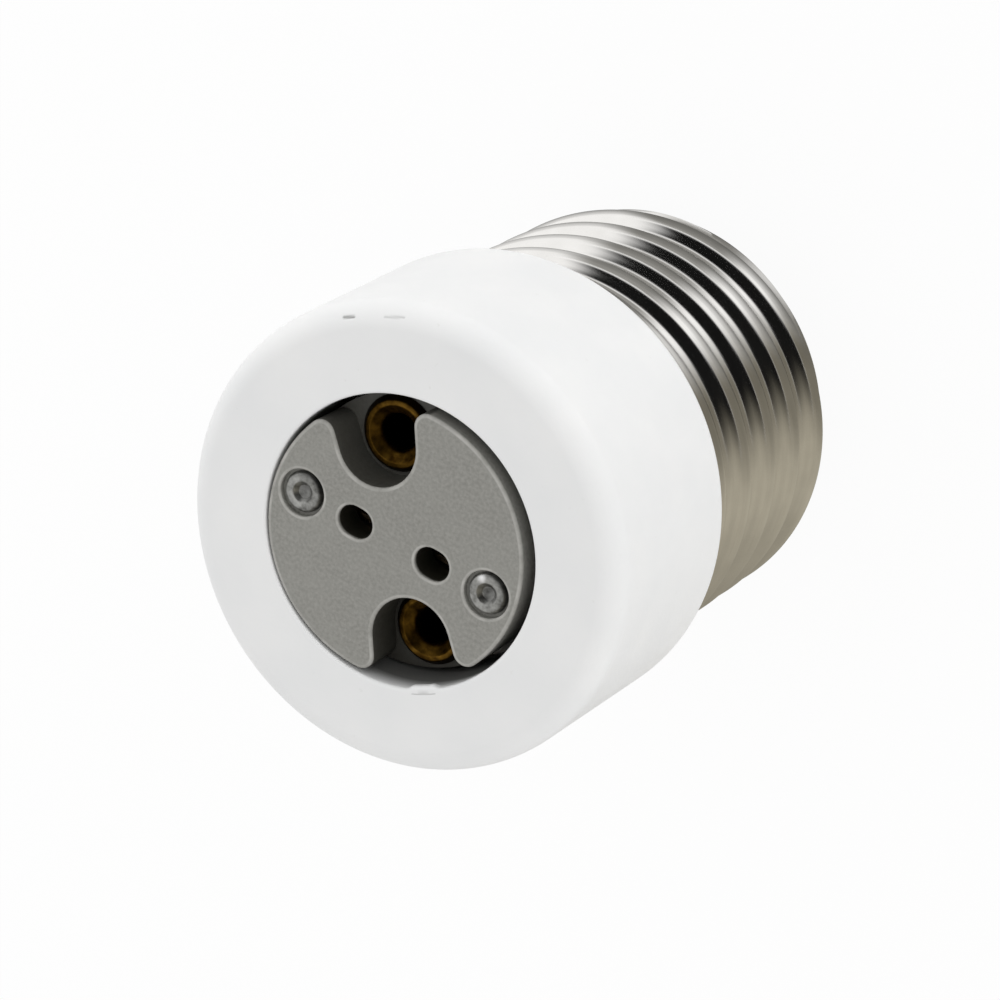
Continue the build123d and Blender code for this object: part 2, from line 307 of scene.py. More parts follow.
class Paint:
    """Material under construction, with textures in object coordinates."""

    def __init__(self, name):
        self.material = bpy.data.materials.new(name)
        self.material.use_nodes = True
        self.tree = self.material.node_tree
        self.shader = self.tree.nodes["Principled BSDF"]
        self.place = self.tree.nodes.new("ShaderNodeTexCoord").outputs["Object"]

    def link(self, source, target):
        """Join an output to an input."""
        self.tree.links.new(source, target)

    def grain(self, size, detail=4.0, stretch=EVEN_STRETCH):
        """Noise with features of about size millimetres."""
        mapping = self.tree.nodes.new("ShaderNodeMapping")
        mapping.inputs["Scale"].default_value = stretch
        self.link(self.place, mapping.inputs["Vector"])
        texture = self.tree.nodes.new("ShaderNodeTexNoise")
        texture.inputs["Scale"].default_value = 1 / (size * MM)
        texture.inputs["Detail"].default_value = detail
        self.link(mapping.outputs["Vector"], texture.inputs["Vector"])
        return texture.outputs["Fac"]

    def ramp(self, source, dark, light, low=NOISE_LOW, high=NOISE_HIGH):
        """Colour that runs from dark to light over a stretch of a value."""
        node = self.tree.nodes.new("ShaderNodeValToRGB")
        for stop, place, colour in zip(node.color_ramp.elements, (low, high), (dark, light)):
            stop.position = place
            stop.color = (*colour, 1.0)
        self.link(source, node.inputs["Fac"])
        return node.outputs["Color"]

    def span(self, source, low, high):
        """Noise value carried over to a range."""
        node = self.tree.nodes.new("ShaderNodeMapRange")
        node.inputs["From Min"].default_value = NOISE_LOW
        node.inputs["From Max"].default_value = NOISE_HIGH
        node.inputs["To Min"].default_value = low
        node.inputs["To Max"].default_value = high
        self.link(source, node.inputs["Value"])
        return node.outputs["Result"]

    def mix(self, factor, first, plain):
        """Colour between one that changes over the surface and a plain one."""
        node = self.tree.nodes.new("ShaderNodeMix")
        node.data_type = "RGBA"
        self.link(factor, node.inputs["Factor"])
        self.link(first, node.inputs[MIX_FIRST])
        node.inputs[MIX_SECOND].default_value = (*plain, 1.0)
        return node.outputs[MIX_RESULT]

    def times(self, first, second):
        """Product of two values that both change over the surface."""
        node = self.tree.nodes.new("ShaderNodeMath")
        node.operation = "MULTIPLY"
        self.link(first, node.inputs[0])
        self.link(second, node.inputs[1])
        return node.outputs[0]

    def attribute(self, name):
        """Value kept on the mesh's points."""
        node = self.tree.nodes.new("ShaderNodeAttribute")
        node.attribute_name = name
        return node.outputs["Fac"]

    def finish(self, colour, rough, bump, depth, metallic=0.0, specular=0.5):
        """Join colour, roughness and relief to the shader."""
        self.link(colour, self.shader.inputs["Base Color"])
        self.link(rough, self.shader.inputs["Roughness"])
        self.shader.inputs["Metallic"].default_value = metallic
        self.shader.inputs["Specular IOR Level"].default_value = specular
        node = self.tree.nodes.new("ShaderNodeBump")
        node.inputs["Strength"].default_value = BUMP_STRENGTH
        node.inputs["Distance"].default_value = depth * MM
        self.link(bump, node.inputs["Height"])
        self.link(node.outputs["Normal"], self.shader.inputs["Normal"])
        return self.material

    def surface(self, under, over, share):
        """Show one shader over another by a share, in place of the plain shader."""
        blend = self.tree.nodes.new("ShaderNodeMixShader")
        self.link(share, blend.inputs["Fac"])
        self.link(under, blend.inputs[1])
        self.link(over, blend.inputs[2])
        self.link(blend.outputs["Shader"], self.tree.nodes["Material Output"].inputs["Surface"])
        return self.material


def mottled(
    name, dark, light, size, rough, relief, depth,
    metallic=0.0, stretch=EVEN_STRETCH, darken=None, bright=None,
):
    """Surface whose colour and roughness wander between two limits, with a fine relief."""
    paint = Paint(name)
    colour = paint.ramp(paint.grain(size, detail=6.0, stretch=stretch), dark, light)
    if darken:
        colour = paint.mix(paint.attribute("dirt_and_shade"), colour, darken)
    if bright:
        colour = paint.mix(paint.attribute("edge"), colour, bright)
    gloss = paint.span(paint.grain(size * GLOSS_SPREAD, detail=3.0, stretch=stretch), *rough)
    bump = paint.grain(relief, detail=3.0, stretch=stretch)
    return paint.finish(colour, gloss, bump, depth, metallic)


def white_moulding():
    """Satin white moulding with faint clouds, pores, and scratch dirt and painted shade where the mesh
    says so.
    """
    dark, light = (0.83, 0.835, 0.835), (0.87, 0.87, 0.865)
    pore = (0.72, 0.72, 0.7)
    pore_share = (0.35, 0.35, 0.35)
    # Dark colour for dirt in the scratches and for painted shade on the mouth's wall and beside the
    # flash
    dirt_and_shade = (0.07, 0.068, 0.062)
    paint = Paint("white_moulding")
    clouds = paint.ramp(paint.grain(size=5.0), dark, light)
    pores = paint.ramp(paint.grain(size=0.5, detail=2.0), BLACK, pore_share, low=0.72, high=0.8)
    colour = paint.mix(pores, clouds, pore)
    colour = paint.mix(paint.attribute("dirt_and_shade"), colour, dirt_and_shade)
    gloss = paint.span(paint.grain(size=1.2), low=0.48, high=0.6)
    bump = paint.grain(size=0.35, detail=3.0)
    return paint.finish(colour, gloss, bump, depth=0.012, specular=0.3)


def steatite():
    """Unglazed grey steatite: fine grains, soft stains, a painted highlight along the edges broken into
    patches, and painted shade where the mesh says so.
    """
    dark, light = (0.228, 0.225, 0.205), (0.305, 0.3, 0.275)
    stain = (0.315, 0.312, 0.286)
    pale = (0.5, 0.49, 0.46)
    # Colour of the painted shade in holes, recesses, notches and the rim's gap
    dirt_and_shade = (0.022, 0.02, 0.013)
    paint = Paint("steatite")
    grains = paint.ramp(paint.grain(size=0.22, detail=2.0), dark, light)
    stains = paint.span(paint.grain(size=2.6, detail=5.0), low=0.0, high=0.35)
    colour = paint.mix(stains, grains, stain)
    # Pale patches along the edges: a painted highlight
    patches = paint.span(paint.grain(size=1.1, detail=3.0), low=0.15, high=1.0)
    marked = paint.times(paint.attribute("edge"), patches)
    colour = paint.mix(marked, colour, pale)
    colour = paint.mix(paint.attribute("dirt_and_shade"), colour, dirt_and_shade)
    gloss = paint.span(paint.grain(size=0.8), low=0.5, high=0.68)
    bump = paint.grain(size=0.18, detail=2.0)
    return paint.finish(colour, gloss, bump, depth=0.015)


def nickel_plate():
    """Bright nickel with faint drawing lines round the shell and small clouds."""
    dark, light = (0.84, 0.825, 0.8), (0.92, 0.905, 0.88)
    round_the_shell = (0.04, 0.04, 1.0)
    paint = Paint("nickel_plate")
    clouds = paint.ramp(paint.grain(size=2.2), dark, light)
    lines = paint.grain(size=0.3, detail=2.0, stretch=round_the_shell)
    gloss = paint.span(lines, low=0.1, high=0.16)
    return paint.finish(clouds, gloss, lines, depth=0.002, metallic=1.0)


materials = {
    "white_moulding": white_moulding(),
    "nickel_plate": nickel_plate(),
    "steatite": steatite(),
    "cap_black": mottled(
        "cap_black", (0.016, 0.016, 0.018), (0.03, 0.03, 0.033),
        size=0.8, rough=(0.16, 0.28), relief=0.5, depth=0.01,
    ),
    "contact_brass": mottled(
        "contact_brass", (0.55, 0.44, 0.25), (0.74, 0.63, 0.42),
        size=1.1, rough=(0.24, 0.4), relief=0.25, depth=0.006, metallic=1.0,
    ),
    "solder": mottled(
        "solder", (0.5, 0.5, 0.51), (0.66, 0.66, 0.66),
        size=0.5, rough=(0.22, 0.42), relief=0.35, depth=0.03, metallic=1.0,
    ),
    "cement": mottled(
        "cement", (0.5, 0.48, 0.44), (0.66, 0.64, 0.6),
        size=0.6, rough=(0.8, 0.95), relief=0.3, depth=0.06,
    ),
    "back_plate": mottled(
        "back_plate", (0.34, 0.28, 0.2), (0.46, 0.4, 0.31),
        size=0.5, rough=(0.55, 0.7), relief=0.2, depth=0.02,
    ),
    # Rivets: the dark colour is painted shade, the bright one a painted glint
    "rivet_metal": mottled(
        "rivet_metal", (0.15, 0.15, 0.14), (0.5, 0.5, 0.48),
        size=0.45, rough=(0.36, 0.52), relief=0.3, depth=0.05, metallic=0.9,
        darken=(0.02, 0.02, 0.02), bright=(0.95, 0.95, 0.95),
    ),
    # Eyelets: the dark colour is painted shade, outside the lip and down the bore
    "eyelet_brass": mottled(
        "eyelet_brass", (0.03, 0.013, 0.002), (0.17, 0.092, 0.014),
        size=0.5, rough=(0.34, 0.5), relief=0.25, depth=0.02, metallic=1.0,
        darken=(0.003, 0.002, 0.001),
    ),
    "spring_bronze": mottled(
        "spring_bronze", (0.48, 0.34, 0.2), (0.64, 0.48, 0.3),
        size=0.6, rough=(0.28, 0.42), relief=0.2, depth=0.008, metallic=1.0,
    ),
    "copper": mottled(
        "copper", (0.6, 0.3, 0.17), (0.76, 0.42, 0.25),
        size=0.4, rough=(0.3, 0.45), relief=0.15, depth=0.01, metallic=1.0,
        stretch=(1.0, 1.0, 0.2),
    ),
    "live_insulation": mottled(
        "live_insulation", (0.22, 0.08, 0.05), (0.32, 0.13, 0.08),
        size=0.8, rough=(0.5, 0.65), relief=0.3, depth=0.02,
    ),
    "neutral_insulation": mottled(
        "neutral_insulation", (0.66, 0.65, 0.6), (0.78, 0.77, 0.73),
        size=0.8, rough=(0.5, 0.65), relief=0.3, depth=0.02,
    ),
}


# White housing

# Scratches, and a painted shadow beside the flash: both ends as (angle, radius, drop below the face),
# half width, depth, darkness
scratches = (
    ((124.5, 13.4, 0.2), (121.6, 13.33, 0.17), 0.11, 0.06, 0.7),
    ((112.8, 13.32, 0.16), (107.6, 13.42, 0.21), 0.09, 0.03, 0.3),
    # Shallow groove beside the flash, darkened as the flash's painted shadow
    ((-65.0, 9.15, 0.0), (-55.0, 9.15, 0.0), 0.035, 0.02, 0.5),
)
# Angles round the housing, in degrees, closer together in the scratched spans and round the flash and
# its painted shadow
worn_spans = ((104.0, 127.0), (285.0, 312.0))
worn_step = 0.25
plain_step = 1.25
# Thin flash on the mouth's edge
flash_angle = math.radians(-60)
flash_half_angle = math.radians(7.5)
flash_reach = 0.25
flash_depth = 0.5
flash_fullness = 0.9
flash_raggedness = 0.25
flash_waves = 1.4
# Painted shade on the mouth's wall, darker downwards
mouth_shade = 0.9
mouth_shade_depth = 1.6
mouth_shade_rows = 4
# Rows of points on the face round the mouth
lip_start = 0.28
lip_step = 0.06
lip_rows = 7


def housing_angles():
    """Angles round the housing, closer together where it is scratched and round the flash."""
    angles = []
    at = 0.0
    while at < 360:
        angles.append(math.radians(at))
        marked = any(low < at < high for low, high in worn_spans)
        at += worn_step if marked else plain_step
    return angles


def on_front(angle, radius, drop):
    """Place near the housing's front face."""
    a = math.radians(angle)
    return Vector((radius * math.cos(a), radius * math.sin(a), housing_height - drop))


def scratch(point):
    """Depth and darkness of the scratches, and of the painted shadow beside the flash, at a point of the
    housing.
    """
    depth, dark = 0.0, 0.0
    for first, second, half_width, most, darkness in scratches:
        start, end = on_front(*first), on_front(*second)
        along = end - start
        share = min(1.0, max(0.0, (point - start).dot(along) / along.length_squared))
        near = max(0.0, 1 - ((point - start - along * share).length / half_width) ** 2)
        depth += most * near
        dark = max(dark, darkness * near)
    return depth, dark


def flash(point):
    """Reach of the thin flash left on the mouth's edge."""
    near_edge = math.hypot(point.x, point.y) < mouth_r + mouth_round + NEAR
    if not near_edge or point.z < housing_height - flash_depth:
        return 0.0
    off = abs(math.atan2(point.y, point.x) - flash_angle) / flash_half_angle
    ragged = flash_fullness + flash_raggedness * waves(point, flash_waves)
    return flash_reach * ragged * ease(off, 1.0, 0.5)


def housing_dirt_and_shade(point):
    """Scratches hold dirt, the mark beside the flash is a painted shadow, and the mouth's wall is
    painted in shade, darker downwards.
    """
    if point.z > seat_z and math.hypot(point.x, point.y) < mouth_r + NEAR:
        depth = housing_height - point.z
        return mouth_shade * ease(depth, mouth_round, mouth_round + mouth_shade_depth)
    return scratch(point)[1]


def in_groove(point):
    """Whether a point of the housing lies in the groove for the hooked lead."""
    off = abs(math.pi - abs(math.atan2(point.y, point.x)))
    on_neck = abs(math.hypot(point.x, point.y) - neck_r) < groove_reach
    return on_neck and point.z < groove_top and off < groove_half_angle


def housing_piece():
    """Turned moulding with mouth, seat, neck and the groove for the hooked lead."""
    lip = [(mouth_r + lip_start + lip_step * k, housing_height, 0) for k in range(lip_rows)]
    # Rows down the mouth's wall that carry its painted shade
    shade_step = mouth_shade_depth / mouth_shade_rows
    darkening = [(mouth_r, housing_height - shade_step * (k + 1), 0) for k in range(mouth_shade_rows)]
    outline = rounded(
        [
            (chamber_r, neck_low, inner_round),
            (neck_r, neck_low, inner_round),
            (neck_r, 0, 0),
            (housing_rear_r, 0, rear_round),
            (housing_front_r, housing_height, front_round),
            *reversed(lip),
            (mouth_r, housing_height, mouth_round),
            *darkening,
            (mouth_r, seat_z, inner_round),
            (chamber_r, seat_z, inner_round),
        ]
    )
    skin = Skin()
    skin.turned(outline, housing_angles())
    skin.darken(housing_dirt_and_shade)
    for vert in skin.bm.verts:
        point = vert.co / MM
        out = Vector((point.x, point.y, 0)).normalized()
        vert.co -= (out + Vector((0, 0, 1))).normalized() * scratch(point)[0] * MM
        vert.co -= out * flash(point) * MM
        if in_groove(point):
            vert.co -= out * groove_depth * MM
    skin.finish("moulded_housing", "white_moulding", "housing")


# Screw shell

shell_sides = 288
shell_row_step = 0.1
shoulder_steps = 18
# The inside has one row for so many of the outside's, and stays a little above the end wall
inside_every = 3
inside_lift = 0.05


def thread_radius(angle, height):
    """Outside of the rounded thread: equal arcs for crest and root."""
    depth = thread_crest_r - thread_root_r
    bow = (thread_pitch**2 / 4 + depth**2) / (4 * depth)
    turn = (height - thread_crest_z) / thread_pitch - (angle - thread_phase) / (2 * math.pi)
    off = ((turn + 0.5) % 1.0 - 0.5) * thread_pitch
    if abs(off) <= thread_pitch / 4:
        return thread_crest_r - bow + math.sqrt(bow**2 - off**2)
    off = thread_pitch / 2 - abs(off)
    return thread_root_r + bow - math.sqrt(bow**2 - off**2)


def smooth_min(first, second, blend):
    """Smaller of two lengths with a soft change between them."""
    share = min(1.0, max(0.0, 0.5 + (second - first) / (2 * blend)))
    return second + (first - second) * share - blend * share * (1 - share)


def shell_radius(angle, height, limit):
    """Outside of the shell: collar, thread and shoulder run into each other."""
    radius = smooth_min(thread_radius(angle, height), limit, shoulder_blend)
    fade = ease(height, -collar_length - collar_fade, -collar_length)
    return radius + (collar_r - radius) * fade


def shell_loop(skin, angles, height, limit, wall=0.0):
    """Loop round the shell's outside, or inside it by the wall."""
    points = []
    for a in angles:
        radius = shell_radius(a, height, limit) - wall
        points.append((radius * math.cos(a), radius * math.sin(a), height))
    return skin.loop(points)


def screw_shell_piece():
    """Thin pressed shell: outside from rim to far end, then back along the inside."""
    low = shell_end_z
    floor = low + shell_wall
    round_z = low + shoulder_round
    round_r = shoulder_r - shoulder_round
    rows = [(-shell_row_step * k, shoulder_r) for k in range(int(-round_z / shell_row_step) + 1)]
    for k in range(1, shoulder_steps + 1):
        a = math.radians(90 * k / shoulder_steps)
        rows.append((round_z - shoulder_round * math.sin(a), round_r + shoulder_round * math.cos(a)))
    end_wall = (
        (round_r - FLAT, low),
        (shell_end_r + FLAT, low),
        (shell_end_r, low + FLAT),
        (shell_end_r, floor),
        (round_r, floor),
    )
    angles = even(shell_sides)
    skin = Skin()
    loops = [shell_loop(skin, angles, height, limit) for height, limit in rows]
    loops += [skin.loop(ring(radius, height, angles)) for radius, height in end_wall]
    for height, limit in reversed(rows[::inside_every]):
        lifted = max(height, floor + inside_lift)
        loops.append(shell_loop(skin, angles, lifted, limit, shell_wall))
    skin.rows(loops, wrap=True)
    skin.finish("threaded_shell", "nickel_plate", "screw_shell")


# Lampholder

# Steps of the round stretches in the body's plan
flare_steps = 8
notch_steps = 24
rim_steps = 48
gap_steps = 16
slot_steps = 12
circle_steps = 48
edge_steps = 5
# Painted highlight and painted shade from 0 to 1: pairs run from the lighter side to the darker one, or
# from top to floor
rim_highlight = 0.85
rim_shade = 0.1
recess_shade = (0.2, 0.85)
lower_notch_shade = (0.84, 0.94)
upper_notch_shade = (0.8, 0.72)
# Side of each rivet recess that is painted darker as shade
rivet_shade_angle = math.radians(40)


def turned_plan(points, turn):
    """Plan points turned about the lampholder's axis."""
    a = math.radians(turn)
    return [(x * math.cos(a) - y * math.sin(a), x * math.sin(a) + y * math.cos(a)) for x, y in points]


# Where the flared corners of a notch meet the rim
spread = math.radians(notch_spread)
flare_side = notch_r - notch_centre * math.sin(spread) + notch_flare
flare_angle = notch_spread + math.degrees(math.asin(flare_side / (holder_r - notch_flare)))
flare_x, flare_y = arc(0, 0, holder_r - notch_flare, flare_angle, 90, 1)[0]
flare_reach = holder_r * math.sin(math.radians(flare_angle))
# Both notches lie on one line through the axis, and an eyelet stands in each
notch_line = math.radians(notch_turns[1])
eyelet_places = [turned_plan([(notch_centre, 0)], turn)[0] for turn in notch_turns]


def notch_path(turn, off):
    """One notch from rim to rim, with the wall set back by off."""
    flare = notch_flare - off
    path = arc(flare_x, -flare_y, flare, -flare_angle, 90 - notch_spread, flare_steps)
    path += arc(notch_centre, 0, notch_r + off, 270 - notch_spread, 90 + notch_spread, notch_steps)
    path += arc(flare_x, flare_y, flare, notch_spread - 90, flare_angle, flare_steps)
    return turned_plan(path, turn)


def rim_path(turn, off):
    """Rim of the body from this notch to the next one, without the ends."""
    path = arc(0, 0, holder_r - off, flare_angle, 180 - flare_angle, rim_steps)
    return turned_plan(path[1:-1], turn)


def notched_plan(off):
    """Plan of the upper body, with its edge set back by off."""
    return [p for turn in notch_turns for p in notch_path(turn, off) + rim_path(turn, off)]


def slot_plan(side, off):
    """Plan of a pin hole."""
    reach = (pin_slot_length - pin_slot_width) / 2
    half = pin_slot_width / 2 + off
    x = side * pin_x
    return arc(x + reach, 0, half, -90, 90, slot_steps) + arc(x - reach, 0, half, 90, 270, slot_steps)


def circle_plan(x, y, radius):
    """Plan of a round hole."""
    return arc(x, y, radius, 0, 360, circle_steps)[:-1]


def raised(plan, height):
    """Plan of the lampholder lifted to a height and put in its place."""
    return [(holder_x + x, holder_y + y, height) for x, y in plan]


def rounded_rim(skin, plan, radius):
    """Loops from the body's face over a rounded rim, for a plan that depends on its set-back."""
    loops = [skin.loop(raised(plan(radius + face_margin), holder_top))]
    # The rim carries a painted highlight, fading down its round
    loops.append(skin.loop(raised(plan(radius + FLAT), holder_top), rim_highlight))
    for k in range(edge_steps + 1):
        a = math.radians(90 * k / edge_steps)
        set_back = radius * (1 - math.sin(a))
        height = holder_top - radius * (1 - math.cos(a))
        loops.append(skin.loop(raised(plan(set_back), height), rim_highlight * math.cos(a)))
    loops.append(skin.loop(raised(plan(0), holder_top - radius - FLAT)))
    return loops


def rivet_side(point):
    """1 on the more shaded side of a rivet, 0 on the other."""
    x = point.x - holder_x
    angle = math.atan2(point.y - holder_y, x - math.copysign(rivet_x, x))
    return max(0.0, math.cos(angle - rivet_shade_angle))


def body_shade(point):
    """Painted shade on the body: black pin holes, shaded recesses and notches, a faintly shaded rim."""
    x, y = point.x - holder_x, point.y - holder_y
    depth = holder_top - point.z
    if depth < edge_round:
        return 0.0
    if abs(abs(x) - pin_x) < pin_slot_length / 2 + NEAR and abs(y) < pin_slot_width / 2 + NEAR:
        return 1.0
    if math.hypot(abs(x) - rivet_x, y) < rivet_recess_r + NEAR:
        return between(recess_shade, rivet_side(point))
    beside = abs(x * math.sin(notch_line) - y * math.cos(notch_line))
    if math.hypot(x, y) > holder_r - NEAR and beside > flare_reach - NEAR:
        return rim_shade
    share = min(1.0, depth / notch_depth)
    return between(lower_notch_shade if y < 0 else upper_notch_shade, share)


def pin_hole(skin, side):
    """Pin hole and the contact chamber behind it: its loops in the face and the back."""
    hole = rounded_rim(skin, lambda off: slot_plan(side, off), hole_round)
    for z in (pin_shade_z, face_back):
        hole.append(skin.loop(raised(slot_plan(side, 0), z)))
    skin.rows(hole)
    inner, outer = sorted((side * chamber_in, side * chamber_out))
    room = [
        (inner, -chamber_half_width),
        (outer, -chamber_half_width),
        (outer, chamber_half_width),
        (inner, chamber_half_width),
    ]
    ceiling = skin.loop(raised(room, face_back))
    skin.fill(ceiling, hole[-1])
    back = skin.loop(raised(room, body_back))
    skin.band(ceiling, back)
    return hole[0], back


def rivet_recess(skin, side):
    """Round recess and the rivet's hole: its loops in the face and the back."""
    x = side * rivet_x
    recess = rounded_rim(skin, lambda off: circle_plan(x, 0, rivet_recess_r + off), hole_round)
    recess.append(skin.loop(raised(circle_plan(x, 0, rivet_recess_r), rivet_recess_floor)))
    recess.append(skin.loop(raised(circle_plan(x, 0, rivet_hole_r), rivet_recess_floor)))
    recess.append(skin.loop(raised(circle_plan(x, 0, rivet_hole_r), body_back)))
    skin.rows(recess)
    return recess[0], recess[-1]


def lampholder_piece():
    """Steatite body with rounded edges, open notches, pin holes and rivet recesses."""
    skin = Skin()
    rim = rounded_rim(skin, notched_plan, edge_round)
    rim.append(skin.loop(raised(notched_plan(0), notch_floor)))
    skin.rows(rim)
    face_holes, back_holes = [], []
    for side in (1, -1):
        for opening in (pin_hole, rivet_recess):
            face, back = opening(skin, side)
            face_holes.append(face)
            back_holes.append(back)
    skin.fill(rim[0], *face_holes)

    foot = []
    for turn, (x, y) in zip(notch_turns, eyelet_places):
        across = turned_plan(arc(0, 0, holder_r, -flare_angle, flare_angle, gap_steps), turn)
        hole = [skin.loop(raised(circle_plan(x, y, eyelet_hole_r), z)) for z in (notch_floor, body_back)]
        skin.rows(hole)
        back_holes.append(hole[1])
        notch = skin.loop(raised(notch_path(turn, 0) + across[-2:0:-1], notch_floor))
        skin.fill(notch, hole[0])
        foot += across + rim_path(turn, 0)
    wall = [skin.loop(raised(foot, z)) for z in (notch_floor, body_back)]
    skin.rows(wall)
    skin.fill(wall[1], *back_holes)
    skin.darken(body_shade)
    skin.finish("steatite_body", "steatite", "lampholder_body")


# Rivets

rivet_sides = 64
# Radius of the small flat that closes a rivet on its axis
rivet_axis_r = 0.02
rivet_shank_r = 0.8
rivet_tail_r = 1.05
rivet_tail_height = 0.45
rivet_tail_round = 0.15
rivet_head_r = 1.3
rivet_head_height = 0.3
rivet_head_top = rivet_recess_floor + rivet_head_height
rivet_foot_round = 0.05
rivet_crown_r = 1.15
rivet_crown_round = 0.2
dimple_r = 0.66
dimple_round = 0.16
dimple_floor_r = 0.4
dimple_floor_round = 0.08
dimple_edge_depth = 0.24
dimple_depth = 0.3
# Painted shade in the dimple and round the head: radii where it fades, then how much there is
dimple_shade_end = (0.25, 0.7)
dimple_shade = (0.55, 0.1)
head_shade_start = (0.85, 1.2)
head_shade = (0.1, 0.7)
# Painted glint on one head, from the rivet's axis
glint_x = -0.6
glint_y = 0.75
glint_reach = 0.4


def rivet_shade(point):
    """Painted shade of a rivet: in the dimple and round the edge of the head."""
    r = math.hypot(abs(point.x - holder_x) - rivet_x, point.y - holder_y)
    inside = between(dimple_shade, ease(r, *dimple_shade_end))
    return inside + between(head_shade, rivet_side(point)) * ease(r, *head_shade_start)


def rivets_piece():
    """Two rivets: a rolled head with a dimple, the shank and a flat head below the plate."""
    tail_low = seat_z - rivet_tail_height
    outline = rounded(
        [
            (rivet_axis_r, tail_low, 0),
            (rivet_tail_r, tail_low, rivet_tail_round),
            (rivet_tail_r, seat_z, 0),
            (rivet_shank_r, seat_z, 0),
            (rivet_shank_r, rivet_recess_floor, 0),
            (rivet_head_r, rivet_recess_floor, rivet_foot_round),
            (rivet_crown_r, rivet_head_top, rivet_crown_round),
            (dimple_r, rivet_head_top, dimple_round),
            (dimple_floor_r, rivet_head_top - dimple_edge_depth, dimple_floor_round),
            (rivet_axis_r, rivet_head_top - dimple_depth, 0),
        ]
    )
    skin = Skin()
    for side in (1, -1):
        skin.turned(outline, even(rivet_sides), holder_x + side * rivet_x, holder_y, wrap=False)
    skin.darken(rivet_shade)
    # A painted glint on the right rivet's head
    glint = Vector((holder_x + rivet_x + glint_x, holder_y + glint_y, rivet_head_top))
    for vert in skin.bm.verts:
        vert[skin.edge] = ease((vert.co / MM - glint).length, glint_reach, 0.0)
    skin.finish("rolled_rivets", "rivet_metal", "lampholder_rivets")


# Eyelets

eyelet_sides = 72
eyelet_tube_r = 1.45
eyelet_tail_r = 1.8
eyelet_tail_round = 0.1
eyelet_flange_r = 2.4
eyelet_flange_round = 0.06
eyelet_lip_out_r = 2.05
eyelet_lip_in_r = 1.75
eyelet_lip_round = 0.14
eyelet_funnel_round = 0.3
# Rows of points down the bore, and the depths between which its painted shade turns it black
bore_rows = (0.7, 1.05, 1.4)
bore_shade_depths = (0.1, 1.3)
# Radii between which the flange is painted in shade outside its lip
flange_shade_start = (1.85, 2.15)
flange_shade = 0.8


def eyelet_shade(point):
    """Painted shade of an eyelet: outside its lip, and down the bore until it is black."""
    x, y = point.x - holder_x, point.y - holder_y
    r = min(math.hypot(x - mid_x, y - mid_y) for mid_x, mid_y in eyelet_places)
    outside = flange_shade * ease(r, *flange_shade_start)
    return max(outside, ease(notch_floor - point.z, *bore_shade_depths))


def eyelets_piece():
    """Two hollow eyelets: a funnel-shaped flange in the notch, a tube and a turned-over tail."""
    low, high = eyelet_low.z, eyelet_high.z
    outline = rounded(
        [
            (eyelet_bore_r, low, eyelet_tail_round),
            (eyelet_tail_r, low, eyelet_tail_round),
            (eyelet_tail_r, seat_z, 0),
            (eyelet_tube_r, seat_z, 0),
            (eyelet_tube_r, notch_floor, 0),
            (eyelet_flange_r, notch_floor, eyelet_flange_round),
            (eyelet_lip_out_r, high, eyelet_lip_round),
            (eyelet_lip_in_r, high, eyelet_lip_round),
            (eyelet_bore_r, notch_floor, eyelet_funnel_round),
            *[(eyelet_bore_r, notch_floor - depth, 0) for depth in bore_rows],
        ]
    )
    skin = Skin()
    for x, y in eyelet_places:
        skin.turned(outline, even(eyelet_sides), holder_x + x, holder_y + y)
    skin.darken(eyelet_shade)
    skin.finish("brass_eyelets", "eyelet_brass", "mounting_eyelets")


# Far end of the cap

insulator_sides = 192
insulator_play = 0.05
insulator_bore_r = 1.1
insulator_flange_round = 0.2
insulator_rim = 0.5
insulator_rim_round = 0.3
insulator_tip_r = 5.45
insulator_tip_round = 0.25

contact_sides = 128
contact_bore_r = 0.45
contact_tube_r = 1.05
contact_tail_r = 1.55
contact_tail_round = 0.1
contact_disc_r = 4.75
contact_seat_round = 0.06
contact_rim = 0.5
contact_rim_round = 0.2
contact_face_r = 3.2
contact_face_round = 0.9

solder_sides = 64
solder_steps = 14
# Angle from the dome's top, in degrees, of the small flat that closes it
solder_tip_angle = 0.8
solder_ripple = 0.12
solder_waves = 1.3


def insulator_piece():
    """Black insulator: flange inside the shell, stepped rim and a cone to the contact."""
    top, low = insulator_high.z, insulator_low.z
    flange_r = insulator_high.x
    seat = shell_end_z + shell_wall
    nose_r = shell_end_r - insulator_play
    outline = rounded(
        [
            (insulator_bore_r, top, 0),
            (flange_r, top, insulator_flange_round),
            (flange_r, seat, 0),
            (nose_r, seat, 0),
            (nose_r, shell_end_z - insulator_rim, insulator_rim_round),
            (insulator_tip_r, low, insulator_tip_round),
            (insulator_bore_r, low, 0),
        ]
    )
    skin = Skin()
    skin.turned(outline, even(insulator_sides))
    skin.finish("black_insulator", "cap_black", "cap_insulator")


def contact_piece():
    """Contact disc with a coned rim, and its tube through the insulator."""
    top, low = contact_high.z, contact_low.z
    tail_seat, seat = insulator_high.z, insulator_low.z
    outline = rounded(
        [
            (contact_face_r, low, contact_face_round),
            (contact_bore_r, low, 0),
            (contact_bore_r, top, 0),
            (contact_tail_r, top, contact_tail_round),
            (contact_tail_r, tail_seat, 0),
            (contact_tube_r, tail_seat, 0),
            (contact_tube_r, seat, 0),
            (contact_disc_r, seat, contact_seat_round),
            (contact_disc_r, seat - contact_rim, contact_rim_round),
        ]
    )
    skin = Skin()
    skin.turned(outline, even(contact_sides))
    skin.finish("contact_disc", "contact_brass", "centre_contact")


